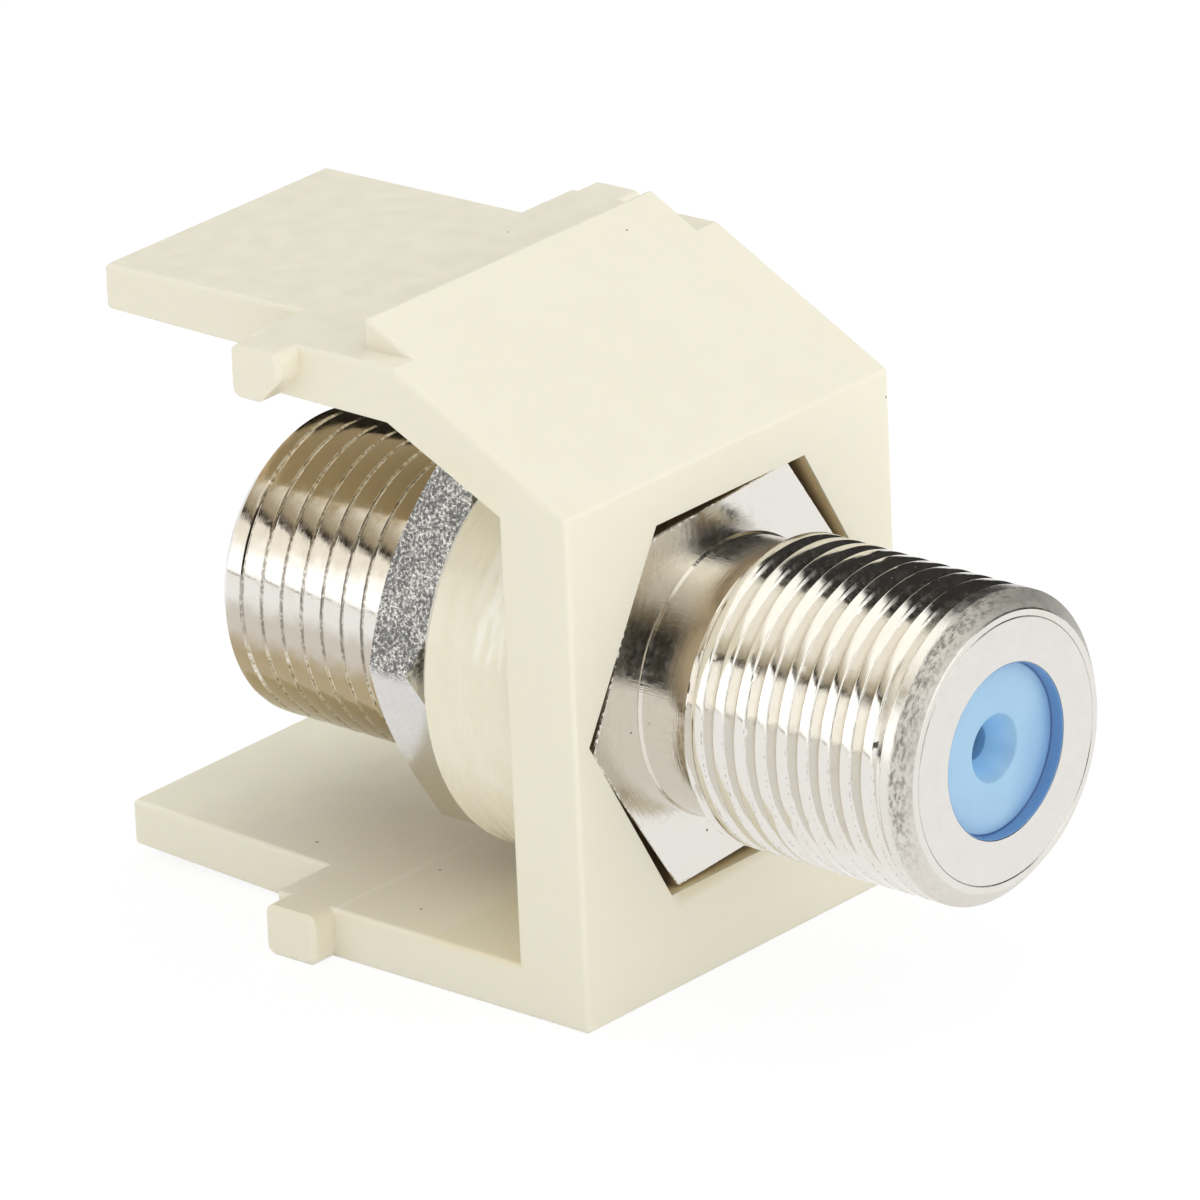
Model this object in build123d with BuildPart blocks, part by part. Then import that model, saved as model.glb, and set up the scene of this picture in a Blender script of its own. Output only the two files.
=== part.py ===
# Snap-in wall-plate insert holding a double-ended F coaxial coupler.
# The plug side faces -Y, the wall side faces +Y, and the insert stands on its flat lower arm.
# Depths are measured back from the housing's front face, heights up from its underside.
import os
from math import cos, radians, tan

from build123d import *

# Housing moulding
housing_width = 14.7
rim_below_pocket = 3.05
rim_above_pocket = 1.45
plate_thickness = 2.6
lower_arm_thickness = 1.6
lower_arm_depth = 12.1
upper_arm_depth = 12.0
ramp_angle = 27.3
bend_depth = 6.4
ramp_wall = 1.85
latch_wall = 1.8
inner_bend_step = 0.4
catch_length = 1.9
catch_inset = 0.9
tongue_width = 10.0
tongue_length = 7.9
tongue_tip = 1.45
lower_tongue_lift = 0.38
upper_tongue_drop = 0.37
lug_reach = 0.95
lug_length = 1.95
lower_lug_setback = 0.3
lug_corner_cut = 0.9
lug_rounding = 0.3
edge_rounding = 0.15

# Round boss behind the plate, which the nut pulls against
boss_diameter = 13.2
boss_reach = 4.3
boss_rim_chamfer = 0.45

# Coupler body, turned from hexagon bar
thread_diameter = 9.5
thread_root_diameter = 8.6
neck_diameter = 8.5
front_length = 10.3
neck_length = 1.6
rear_length = 14.25
thread_end_chamfer = 0.5
flange_across_flats = 11.1
flange_thickness = 2.0
flange_recess = 0.2
flange_turn = 4.0
flange_edge_break = 0.08
cavity_diameter = 6.6
rear_lip = 1.2

# Pressed ring that closes the front end
ring_diameter = 8.04
ring_thickness = 1.2
port_diameter = 5.34

# Insulators, one behind each port
insulator_flange = 1.6
insulator_collar_wall = 0.12
insulator_recess = 0.42
funnel_diameter = 2.0
funnel_depth = 0.8
socket_seat_depth = 1.0

# Double-ended spring contact
socket_diameter = 1.1
socket_depth = 6.0
contact_tip_diameter = 1.9
contact_middle_diameter = 2.5
contact_slot_width = 0.3
contact_slot_depth = 5.0

# Hexagon nut on the rear thread
nut_across_flats = 11.1
nut_thickness = 2.38
nut_turn = -3.4
nut_chamfer_angle = 30.0

# Clearances
pocket_clearance = 0.3
bore_clearance = 0.1
nut_clearance = 0.03
press_clearance = 0.02
loose_clearance = 0.04

# Heights of the bore and of the front plate, which is as tall as the pocket and its rims
pocket_half_height = flange_across_flats / 2 + pocket_clearance
axis_height = rim_below_pocket + pocket_half_height
front_height = axis_height + pocket_half_height + rim_above_pocket

# Levels along the depth
flange_back = flange_recess + flange_thickness
front_end = flange_recess - front_length
rear_end = flange_back + rear_length
boss_back = plate_thickness + boss_reach
nut_back = boss_back + nut_thickness
front_shoulder = front_end + ring_thickness
rear_shoulder = rear_end - rear_lip

# Heights and depths of the arms
ramp_slope = tan(radians(ramp_angle))
bend_height = front_height + bend_depth * ramp_slope
catch_depth = bend_depth + catch_length
catch_height = front_height + catch_depth * ramp_slope
gap_top = bend_height - latch_wall
inner_ramp_height = front_height + plate_thickness * ramp_slope - ramp_wall
lower_tip_depth = lower_arm_depth + tongue_length
upper_tip_depth = upper_arm_depth + tongue_length
upper_fall = upper_tongue_drop / (upper_tip_depth - bend_depth)


def upper_top(depth):
    return bend_height - (depth - bend_depth) * upper_fall


# The origin is under the middle of the whole insert, so the front face lies ahead of it
front_face_y = -(max(lower_tip_depth, upper_tip_depth) + front_end) / 2
side_plane = Plane(origin=(0, front_face_y, 0), x_dir=(0, 1, 0), z_dir=(1, 0, 0))
section_plane = Plane(origin=(0, front_face_y, axis_height), x_dir=(0, 1, 0), z_dir=(1, 0, 0))
bore_axis = Axis((0, front_face_y, axis_height), (0, 1, 0))


def face_plane(depth):
    # Looks back along the bore, with its own X to the right and its own Y up
    return Plane(origin=(0, front_face_y + depth, axis_height), x_dir=(1, 0, 0), z_dir=(0, -1, 0))


os.makedirs("parts", exist_ok=True)

with BuildPart() as tongues:
    # Narrow tongues for the ends of both arms, tapering to their tips
    with BuildSketch(side_plane):
        with BuildLine():
            Polyline(
                (lower_arm_depth, 0),
                (lower_tip_depth, lower_tongue_lift),
                (lower_tip_depth, lower_tongue_lift + tongue_tip),
                (lower_arm_depth, lower_arm_thickness),
                close=True,
            )
        make_face()
        with BuildLine():
            Polyline(
                (upper_arm_depth, gap_top),
                (upper_tip_depth, gap_top),
                (upper_tip_depth, upper_top(upper_tip_depth)),
                (upper_arm_depth, upper_top(upper_arm_depth)),
                close=True,
            )
        make_face()
    extrude(amount=tongue_width / 2, both=True)
    # Every edge is rounded apart from those at the roots
    root_limit = front_face_y + max(lower_arm_depth, upper_arm_depth) + edge_rounding
    free_edges = [edge for edge in tongues.edges() if edge.bounding_box().max.Y > root_limit]
    fillet(free_edges, edge_rounding)

with BuildPart() as catch:
    # Wedge that springs behind the wall plate, its slope in line with the ramp
    with BuildSketch(side_plane):
        with BuildLine():
            Polyline(
                (bend_depth, bend_height),
                (catch_depth, catch_height),
                (catch_depth, gap_top + latch_wall / 2),
                (bend_depth, gap_top + latch_wall / 2),
                close=True,
            )
        make_face()
    extrude(amount=housing_width / 2 - catch_inset, both=True)
    fillet(
        [edge for edge in catch.edges() if edge.bounding_box().max.Z > bend_height + edge_rounding],
        edge_rounding,
    )

with BuildPart() as boss:
    with BuildSketch(face_plane(boss_back)):
        Circle(boss_diameter / 2)
    extrude(amount=boss_reach)
    chamfer(boss.faces().sort_by(Axis.Y)[-1].edges(), boss_rim_chamfer)

with BuildPart() as lugs:
    # Stop lugs beside both arms, the upper ones cut away at their lower front corner
    lug_root = housing_width / 2 - 2 * edge_rounding
    lower_lug_back = lower_arm_depth - lower_lug_setback
    lug_front = upper_arm_depth - lug_length
    with BuildSketch(side_plane.offset(lug_root)):
        with BuildLine():
            FilletPolyline(
                (lower_lug_back - lug_length, 0),
                (lower_lug_back, 0),
                (lower_lug_back, lower_arm_thickness),
                (lower_lug_back - lug_length, lower_arm_thickness),
                radius=lug_rounding,
                close=True,
            )
        make_face()
        with BuildLine():
            FilletPolyline(
                (upper_arm_depth, upper_top(upper_arm_depth)),
                (lug_front, upper_top(lug_front)),
                (lug_front, gap_top + lug_corner_cut),
                (lug_front + lug_corner_cut, gap_top),
                (upper_arm_depth, gap_top),
                radius=lug_rounding,
                close=True,
            )
        make_face()
    extrude(amount=2 * edge_rounding + lug_reach)
    chamfer(lugs.faces().filter_by(Axis.X).group_by(Axis.X)[-1].edges(), edge_rounding)
    mirror(about=Plane.YZ)

with BuildPart() as housing:
    # Front plate, lower arm and ramped latch arm as one bent section
    with BuildSketch(side_plane):
        # Corners are sharp inside the bends, and where the catch and the tongues go on in the same plane
        corners = [
            ((0, 0), edge_rounding),
            ((0, front_height), edge_rounding),
            ((bend_depth, bend_height), 0),
            ((upper_arm_depth, upper_top(upper_arm_depth)), 0),
            ((upper_arm_depth, gap_top), 0),
            ((bend_depth + inner_bend_step, gap_top), 0),
            ((plate_thickness, inner_ramp_height), 0),
            ((plate_thickness, lower_arm_thickness), 0),
            ((lower_arm_depth, lower_arm_thickness), 0),
            ((lower_arm_depth, 0), 0),
        ]
        points, radii = zip(*corners)
        with BuildLine():
            FilletPolyline(*points, radius=radii, close=True)
        make_face()
    extrude(amount=housing_width / 2, both=True)
    fillet(housing.faces().filter_by(Axis.X).edges(), edge_rounding)
    add(tongues.part)
    add(catch.part)
    add(lugs.part)
    add(boss.part)
    # Hexagon pocket for the flange, corners to the left and right
    with BuildSketch(face_plane(0)):
        RegularPolygon(pocket_half_height, 6, major_radius=False)
    extrude(amount=-flange_back, mode=Mode.SUBTRACT)
    with BuildSketch(face_plane(0)):
        Circle(thread_diameter / 2 + bore_clearance)
    extrude(amount=-boss_back, mode=Mode.SUBTRACT)
housing.part.label = "housing"

with BuildPart() as connector_body:
    # Hexagon flange left from the bar, with the edges of its front face broken
    with BuildSketch(face_plane(flange_back)):
        RegularPolygon(flange_across_flats / 2, 6, major_radius=False, rotation=flange_turn)
    extrude(amount=flange_thickness)
    chamfer(connector_body.faces().sort_by(Axis.Y)[0].edges(), flange_edge_break)
    # Turned outline from the front end to the rear end
    # The thread is drawn at its crests where it is free and at its root inside the nut
    thread_radius = thread_diameter / 2
    root_radius = thread_root_diameter / 2
    neck_radius = neck_diameter / 2
    thread_start = flange_recess - neck_length
    with BuildSketch(section_plane):
        with BuildLine():
            Polyline(
                (front_end, 0),
                (front_end, thread_radius - thread_end_chamfer),
                (front_end + thread_end_chamfer, thread_radius),
                (thread_start - (thread_radius - neck_radius), thread_radius),
                (thread_start, neck_radius),
                (flange_back, neck_radius),
                (flange_back, thread_radius),
                (boss_back, thread_radius),
                (boss_back, root_radius),
                (nut_back + nut_clearance, root_radius),
                (nut_back + nut_clearance, thread_radius),
                (rear_end - thread_end_chamfer, thread_radius),
                (rear_end, thread_radius - thread_end_chamfer),
                (rear_end, 0),
                close=True,
            )
        make_face()
    revolve(axis=bore_axis)
    # Ring seat, inner cavity and rear port
    with BuildSketch(section_plane):
        with BuildLine():
            Polyline(
                (front_end, 0),
                (front_end, ring_diameter / 2),
                (front_shoulder, ring_diameter / 2),
                (front_shoulder, cavity_diameter / 2),
                (rear_shoulder, cavity_diameter / 2),
                (rear_shoulder, port_diameter / 2),
                (rear_end, port_diameter / 2),
                (rear_end, 0),
                close=True,
            )
        make_face()
    revolve(axis=bore_axis, mode=Mode.SUBTRACT)
connector_body.part.label = "connector_body"

with BuildPart() as front_ring:
    with BuildSketch(section_plane):
        with Locations((front_end, port_diameter / 2)):
            ring_wall = (ring_diameter - port_diameter) / 2 - press_clearance
            Rectangle(ring_thickness, ring_wall, align=(Align.MIN, Align.MIN))
    revolve(axis=bore_axis)
front_ring.part.label = "front_ring"


def insulator_outline(mouth, inward):
    # Half section from the port's mouth inwards: collar, recessed face, funnel, flange and contact seat
    shoulder = ring_thickness if inward > 0 else rear_lip
    nose_radius = port_diameter / 2 - loose_clearance
    flange_radius = cavity_diameter / 2 - loose_clearance
    seat_radius = contact_tip_diameter / 2 + loose_clearance
    back = shoulder + insulator_flange
    points = [
        (loose_clearance, nose_radius - insulator_collar_wall),
        (loose_clearance, nose_radius),
        (shoulder, nose_radius),
        (shoulder, flange_radius),
        (back, flange_radius),
        (back, seat_radius),
        (back - socket_seat_depth, seat_radius),
        (back - socket_seat_depth, socket_diameter / 2),
        (insulator_recess + funnel_depth, socket_diameter / 2),
        (insulator_recess, funnel_diameter / 2),
        (insulator_recess, nose_radius - insulator_collar_wall),
    ]
    return [(mouth + inward * depth, radius) for depth, radius in points]


with BuildPart() as front_insulator:
    with BuildSketch(section_plane):
        with BuildLine():
            Polyline(*insulator_outline(front_end, 1), close=True)
        make_face()
    revolve(axis=bore_axis)
front_insulator.part.label = "front_insulator"

with BuildPart() as rear_insulator:
    with BuildSketch(section_plane):
        with BuildLine():
            Polyline(*insulator_outline(rear_end, -1), close=True)
        make_face()
    revolve(axis=bore_axis)
rear_insulator.part.label = "rear_insulator"

with BuildPart() as center_contact:
    # Thick middle that keeps the insulators apart, with a slotted socket at each end
    front_stop = front_shoulder + insulator_flange
    rear_stop = rear_shoulder - insulator_flange
    front_tip = front_stop - socket_seat_depth
    rear_tip = rear_stop + socket_seat_depth
    socket_radius = socket_diameter / 2
    with BuildSketch(section_plane):
        with BuildLine():
            Polyline(
                (front_tip + socket_depth, 0),
                (front_tip + socket_depth, socket_radius),
                (front_tip, socket_radius),
                (front_tip, contact_tip_diameter / 2),
                (front_stop, contact_tip_diameter / 2),
                (front_stop, contact_middle_diameter / 2),
                (rear_stop, contact_middle_diameter / 2),
                (rear_stop, contact_tip_diameter / 2),
                (rear_tip, contact_tip_diameter / 2),
                (rear_tip, socket_radius),
                (rear_tip - socket_depth, socket_radius),
                (rear_tip - socket_depth, 0),
                close=True,
            )
        make_face()
    revolve(axis=bore_axis)
    # One saw cut across each end leaves two spring fingers
    for tip, inward in ((front_tip, 1), (rear_tip, -1)):
        with BuildSketch(section_plane):
            with Locations((tip + inward * contact_slot_depth / 2, 0)):
                Rectangle(contact_slot_depth, contact_slot_width)
        extrude(amount=contact_middle_diameter, both=True, mode=Mode.SUBTRACT)
center_contact.part.label = "center_contact"

with BuildPart() as hex_nut:
    with BuildSketch(face_plane(nut_back)):
        RegularPolygon(nut_across_flats / 2, 6, major_radius=False, rotation=nut_turn)
    extrude(amount=nut_thickness)
    # Both ends are chamfered from the inscribed circle out to the corners
    corner_radius = nut_across_flats / 2 / cos(radians(30))
    corner_drop = (corner_radius - nut_across_flats / 2) * tan(radians(nut_chamfer_angle))
    nut_bore = thread_root_diameter / 2 + nut_clearance
    with BuildSketch(section_plane):
        with BuildLine():
            Polyline(
                (boss_back, nut_bore),
                (boss_back, nut_across_flats / 2),
                (boss_back + corner_drop, corner_radius),
                (nut_back - corner_drop, corner_radius),
                (nut_back, nut_across_flats / 2),
                (nut_back, nut_bore),
                close=True,
            )
        make_face()
    revolve(axis=bore_axis, mode=Mode.INTERSECT)
hex_nut.part.label = "hex_nut"

for piece in (
    housing,
    connector_body,
    front_ring,
    front_insulator,
    rear_insulator,
    center_contact,
    hex_nut,
):
    export_step(piece.part, f"parts/{piece.part.label}.step")
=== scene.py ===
import math

import bmesh
import bpy
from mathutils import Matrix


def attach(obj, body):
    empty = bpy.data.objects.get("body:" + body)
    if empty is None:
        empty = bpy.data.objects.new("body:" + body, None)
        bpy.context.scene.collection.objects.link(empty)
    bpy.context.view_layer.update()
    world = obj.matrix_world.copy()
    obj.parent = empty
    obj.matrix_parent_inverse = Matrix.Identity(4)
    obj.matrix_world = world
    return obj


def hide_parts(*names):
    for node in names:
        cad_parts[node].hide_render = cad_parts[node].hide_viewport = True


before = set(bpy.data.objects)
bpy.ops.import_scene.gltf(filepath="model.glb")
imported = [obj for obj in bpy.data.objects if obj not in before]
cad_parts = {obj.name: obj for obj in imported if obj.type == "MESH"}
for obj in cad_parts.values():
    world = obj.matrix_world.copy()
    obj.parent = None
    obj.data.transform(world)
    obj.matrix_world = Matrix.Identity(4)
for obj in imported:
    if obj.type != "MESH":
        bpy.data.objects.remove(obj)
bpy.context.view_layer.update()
print("frame loaded:", sorted(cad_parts))

mm = 0.001
fullTurn = 2 * math.pi
sixth = math.pi / 3
white = (1, 1, 1, 1)
depthZero = 4.95  # row y = depth - depthZero, both in mm
boreHeight = 8.9  # height of the coupler's axis in mm


# Short ways to add nodes, for the shaders and for the Geometry Nodes tree
def setSockets(node, sockets):
    for key, value in sockets.items():
        if isinstance(value, bpy.types.NodeSocket):
            node.id_data.links.new(value, node.inputs[key])
        else:
            node.inputs[key].default_value = value


def addNode(tree, kind, sockets=None, **settings):
    made = tree.nodes.new(kind)
    for name, value in settings.items():
        setattr(made, name, value)
    setSockets(made, sockets or {})
    return made


def join(kind, sockets, **settings):
    # The new node goes into the tree that its inputs come from
    tree = next(value.id_data for value in sockets.values() if isinstance(value, bpy.types.NodeSocket))
    return addNode(tree, kind, sockets, **settings)


def maths(operation, *values):
    return join("ShaderNodeMath", dict(enumerate(values)), operation=operation).outputs[0]


def times(first, *others):
    for value in others:
        first = maths("MULTIPLY", first, value)
    return first


def plus(first, *others):
    for value in others:
        first = maths("ADD", first, value)
    return first


def minus(first, second):
    return maths("SUBTRACT", first, second)


def remap(value, span, low=0.0, high=1.0, smooth=True):
    sockets = {"Value": value, "From Min": span[0], "From Max": span[1], "To Min": low, "To Max": high}
    kind = "SMOOTHSTEP" if smooth else "LINEAR"
    return join("ShaderNodeMapRange", sockets, interpolation_type=kind).outputs["Result"]


def ramp(place, span, low=0.0, high=1.0):
    # The same for a place or a distance, with the span in mm
    return remap(place, (span[0] * mm, span[1] * mm), low, high)


def zone(value, *spans):
    # 1 where all the spans are full, 0 where one hasn't started
    return times(*[remap(value, span) for span in spans])


def band(place, *spans):
    # The same with the spans in mm
    return times(*[ramp(place, span) for span in spans])


def mixColour(share, first, second):
    return join("ShaderNodeMix", {0: share, 6: first, 7: second}, data_type="RGBA").outputs[2]


def mixNumber(share, first, second):
    return join("ShaderNodeMix", {0: share, 2: first, 3: second}, data_type="FLOAT").outputs[0]


def vector(x, y, z=0.0):
    return join("ShaderNodeCombineXYZ", {0: x, 1: y, 2: z}).outputs[0]


def split(place):
    return join("ShaderNodeSeparateXYZ", {"Vector": place}).outputs


def noise(place, size, detail, roughness=0.5):
    sockets = {"Vector": place, "Scale": 1 / (size * mm), "Detail": detail, "Roughness": roughness}
    return join("ShaderNodeTexNoise", sockets).outputs["Fac"]


def patchy(place, pattern, low=0.0, high=1.0):
    # A pattern is its size in mm, detail, the levels between which it rises, and a roughness if not 0.5
    size, detail, start, full, *roughness = pattern
    return remap(noise(place, size, detail, *roughness), (start, full), low, high)


def bump(height, strength, distance):
    sockets = {"Height": height, "Strength": strength, "Distance": distance * mm}
    return join("ShaderNodeBump", sockets).outputs["Normal"]


def addSpots(at, colour, spots, core, mark):
    # Small round marks, each a place and a size in mm, with the mark's full colour in their core
    for x, y, z, size in spots:
        sockets = {0: at["place"], 1: (x * mm, y * mm, z * mm)}
        away = join("ShaderNodeVectorMath", sockets, operation="DISTANCE").outputs["Value"]
        colour = mixColour(ramp(away, (size, size * core)), colour, mark)
    return colour


def placesOn(tree):
    # Where a point is: its place, and its distance from the bore's axis, angle round it and place along it
    place = addNode(tree, "ShaderNodeTexCoord").outputs["Object"]
    parts = split(place)
    across, rise = parts["X"], minus(parts["Z"], boreHeight * mm)
    square = plus(times(across, across), times(rise, rise))
    return {
        "place": place,
        "across": across,
        "along": parts["Y"],
        "height": parts["Z"],
        "radius": maths("SQRT", square),
        "angle": maths("ARCTAN2", rise, across),
    }


def angleFrom(at, degrees):
    return minus(at["angle"], math.radians(degrees))


def emptyTree(owner):
    owner.use_nodes = True
    owner.node_tree.nodes.clear()
    return owner.node_tree


def makeFinish(look, facts):
    # A look works out the values of the surface's sockets, and the material has the look's name
    material = bpy.data.materials.new(look.__name__)
    tree = emptyTree(material)
    surface = addNode(tree, "ShaderNodeBsdfPrincipled")
    join("ShaderNodeOutputMaterial", {"Surface": surface.outputs["BSDF"]})
    setSockets(surface, look(facts, placesOn(tree)))
    return material


studio = {
    "cameraPlace": (-0.2887768, -0.2534609, 0.1660704),
    "cameraTurn": (1.184960, 0.040756, -0.866363),
    "lens": 421.165,
    "sensor": 36,
    "clip": (0.01, 10),
    "floorReach": 0.6,
    "floorBounce": (0.97, 0.97, 0.96, 1),
    "floorShadowShare": 0.13,
    "floorGlow": 0.02,  # keeps the open floor white
    "floorFrontLift": 0.19,
    "floorFront": (-6, -14),  # mm along Y over which that lift grows
    "domeLevel": 1.0,
    "domeFrontLift": 0.36,
    "domeTopLift": -0.06,
    "domeRightLift": 0.32,
    "backLight": (-0.71, 0.41, 0.57),  # where the soft light at the left back comes from
    "backLightLift": 0.36,
    "backLightFocus": 3.0,
    "overhead": (1.3, 1.28, 1.2, 1),
    "wall": (1.35, 1.35, 1.33, 1),
    "panel": (1.5, 1.5, 1.47, 1),
    "shade": (0.034, 0.032, 0.029, 1),
    "strip": (0.04, 0.03, 0.02, 1),
    "dusk": (0.62, 0.55, 0.42, 1),
    "corner": (0.42, 0.35, 0.24, 1),
    "horizon": (0.22, 0.18, 0.13, 1),
    # Where the metal mirrors these, in degrees above the horizon (rise) and from +X towards +Y (turn)
    "ceilingRise": (40, 50),
    "panelTurn": ((84, 100), (178, 168)),
    "panelFoot": (0.3, 0.1),
    "panelTop": (30.4, 29.8),
    "duskRise": (32.5, 37.5),
    "gapTop": (38, 50),
    "openingStart": (-61, -54),
    "openingTop": (84, 74),
    "openingEdge": ((0, 45), (50, 60)),  # rise, and the turn of the opening's far edge there
    "openingSoft": (3, -3),
    "unlitTurn": ((-162, -153), (-114, -121)),
    "unlitRise": ((66, 56), (-1, 0)),
    "unlitFade": (32, 44),
}

scene = bpy.context.scene
scene.view_settings.view_transform = "Standard"

cameraData = bpy.data.cameras.new("productCamera")
cameraData.lens = studio["lens"]
cameraData.sensor_width = studio["sensor"]
cameraData.sensor_fit = "HORIZONTAL"
cameraData.clip_start, cameraData.clip_end = studio["clip"]
camera = bpy.data.objects.new("productCamera", cameraData)
camera.location = studio["cameraPlace"]
camera.rotation_euler = studio["cameraTurn"]
scene.collection.objects.link(camera)
scene.camera = camera


def glow(tree, kind, colour, strength):
    return addNode(tree, kind, {"Color": colour, "Strength": strength}).outputs[0]


def mixShader(share, first, second):
    return join("ShaderNodeMixShader", {0: share, 1: first, 2: second}).outputs[0]


def makeFloor(facts):
    reach, share = facts["floorReach"], facts["floorShadowShare"]
    mesh = bpy.data.meshes.new("floor")
    corners = [(-reach, -reach, 0), (reach, -reach, 0), (reach, reach, 0), (-reach, reach, 0)]
    mesh.from_pydata(corners, [], [(0, 1, 2, 3)])
    floor = bpy.data.objects.new("floor", mesh)
    scene.collection.objects.link(floor)
    material = bpy.data.materials.new("paleFloor")
    tree = emptyTree(material)
    # What lights the object: a pale floor, brighter in front
    matt = addNode(tree, "ShaderNodeBsdfDiffuse", {"Color": facts["floorBounce"]}).outputs[0]
    ahead = split(addNode(tree, "ShaderNodeTexCoord").outputs["Object"])["Y"]
    lit = ramp(ahead, facts["floorFront"], 0, facts["floorFrontLift"])
    lifted = glow(tree, "ShaderNodeEmission", white, lit)
    bounce = join("ShaderNodeAddShader", {0: matt, 1: lifted}).outputs[0]
    # What is seen, also in metal: white with a faint shadow
    shaded = addNode(tree, "ShaderNodeBsdfDiffuse", {"Color": (share, share, share, 1)}).outputs[0]
    steady = glow(tree, "ShaderNodeEmission", white, 1 - share + facts["floorGlow"])
    pale = join("ShaderNodeAddShader", {0: shaded, 1: steady}).outputs[0]
    rays = addNode(tree, "ShaderNodeLightPath").outputs
    seen = maths("MAXIMUM", rays["Is Camera Ray"], rays["Is Glossy Ray"])
    seen = maths("MAXIMUM", seen, rays["Is Transmission Ray"])
    join("ShaderNodeOutputMaterial", {"Surface": mixShader(seen, bounce, pale)})
    mesh.materials.append(material)


def mirroredRoom(facts, rise, turn):
    # Bright wall below a light ceiling
    colour = mixColour(remap(rise, facts["ceilingRise"]), facts["wall"], facts["overhead"])
    # At the left back a bright panel with a crisp upper edge, and above it a dark gap that fades upwards
    fading = mixColour(remap(rise, facts["duskRise"]), facts["strip"], facts["dusk"])
    for span, tone in (("gapTop", "overhead"), ("panelTop", "panel"), ("panelFoot", "horizon")):
        fading = mixColour(remap(rise, facts[span]), fading, facts[tone])
    colour = mixColour(zone(turn, *facts["panelTurn"]), colour, fading)
    # Dark opening of the studio on the right, which the upper side of the barrel mirrors
    edgeRise, edgeTurn = facts["openingEdge"]
    edge = remap(rise, edgeRise, *edgeTurn, smooth=False)
    dark = times(remap(minus(turn, edge), facts["openingSoft"]),
                 remap(turn, facts["openingStart"]), remap(rise, facts["openingTop"]))
    colour = mixColour(dark, colour, facts["shade"])
    # Unlit side of the room on the left front, which the neck and the flange mirror
    unlit = times(zone(turn, *facts["unlitTurn"]), zone(rise, *facts["unlitRise"]))
    darkness = mixColour(remap(rise, facts["unlitFade"]), facts["shade"], facts["corner"])
    return mixColour(unlit, colour, darkness)


def domeStrength(facts, toward, parts):
    # Soft dome for the light itself, a little stronger from the front, the right and the left back
    lift = plus(times(parts["Y"], -facts["domeFrontLift"]),
                times(parts["Z"], facts["domeTopLift"]), times(parts["X"], facts["domeRightLift"]))
    sockets = {0: toward, 1: facts["backLight"]}
    backLit = join("ShaderNodeVectorMath", sockets, operation="DOT_PRODUCT").outputs["Value"]
    backLit = maths("POWER", maths("MAXIMUM", backLit, 0.0), facts["backLightFocus"])
    return plus(lift, times(backLit, facts["backLightLift"]), facts["domeLevel"])


def makeStudio(facts):
    world = bpy.data.worlds.new("studio")
    scene.world = world
    tree = emptyTree(world)
    toward = addNode(tree, "ShaderNodeTexCoord").outputs["Generated"]
    parts = split(toward)
    rise = maths("DEGREES", maths("ARCSINE", parts["Z"]))
    turn = maths("DEGREES", maths("ARCTAN2", parts["Y"], parts["X"]))
    dome = glow(tree, "ShaderNodeBackground", white, domeStrength(facts, toward, parts))
    mirror = glow(tree, "ShaderNodeBackground", mirroredRoom(facts, rise, turn), 1.0)
    backdrop = glow(tree, "ShaderNodeBackground", white, 1.0)
    rays = addNode(tree, "ShaderNodeLightPath").outputs
    shiny = maths("MAXIMUM", rays["Is Glossy Ray"], rays["Is Transmission Ray"])
    room = mixShader(rays["Is Camera Ray"], mixShader(shiny, dome, mirror), backdrop)
    join("ShaderNodeOutputWorld", {"Surface": room})


makeFloor(studio)
makeStudio(studio)
print("camera, floor and studio made")


# Coupler body: hexagon flange, neck and two threads on one turned outline. Depths and radii in mm
coupler = {
    "pitch": 0.79375,
    "crest": 4.75,
    "neck": 4.25,
    "frontEnd": -10.1,
    "rearEnd": 16.45,
    "endChamfer": 0.5,
    "rimBreak": (0.02, 0.03),  # along and across, where the front face meets its chamfer
    "shoulder": (-1.86, -1.66),  # where the crest goes down to the neck
    "neckRows": (0.1, 0.4, 0.7, 0.95),  # shares of the way from the shoulder to the flange
    "neckFillet": 0.06,
    "flangeFace": 0.2,
    "flangeBack": 2.2,
    "flangeRings": (4.6, 4.9, 5.2, 5.45),
    "flangeHalf": 5.58,
    "flangeTurn": 4.0,  # degrees
    "flangeBreak": 0.03,
    "bossBack": 6.9,
    "nutBack": 9.31,
    "rootInNut": 4.3,
    "ringSeat": 4.02,
    "seatBreak": 0.02,
    "ringDepth": 1.2,
    "cavity": 3.3,
    "port": 2.67,
    "portBreak": 0.08,
    "rearLip": 1.2,
    "segments": 288,
    "slopeSteps": 6,  # on the shoulder and on the rear chamfer
    "blendSteps": 12,
    "rearBlendSteps": 18,
    "landMiddle": 0.3969,  # from a groove's centre to the middle of the land next to it
    "rootHalf": 0.03,  # half the flat root of a groove
    "flankCorner": 0.03,  # width of the small corner between flank and land
    "flankShare": 0.05,  # of the depth, where the flank ends and that corner starts
    "leanBack": 0.04,  # share of a turn, each side of the lowest line, in which the rows lean back
    "fade": (-9.27, -8.93),  # where the front groove starts and is at its full depth
    "raggedness": 0.013,
    "raggedSize": 0.08,
}

# Each groove: half its opening, its depth, how far the crest is crowned, where its centre is straight above
# the axis, where the rows follow it fully, and how far from its centre the rows lie on both sides
frontThread = {
    "half": 0.235,
    "depth": 0.335,
    "crown": 0.007,
    "grooveAt": -8.132,
    "span": (-9.1, -2.34),
    "rows": (0.03, 0.12, 0.205, 0.235, 0.255, 0.31),
}
rearThread = {
    "half": 0.09,
    "depth": 0.048,
    "crown": 0.006,
    "grooveAt": 13.122,
    "span": (9.9, 15.24),
    "rows": (0.03, 0.045, 0.06, 0.09, 0.105, 0.26),
}
noThread = {"half": 0.1, "depth": 0.0, "crown": 0.0, "grooveAt": 0.0}


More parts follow.
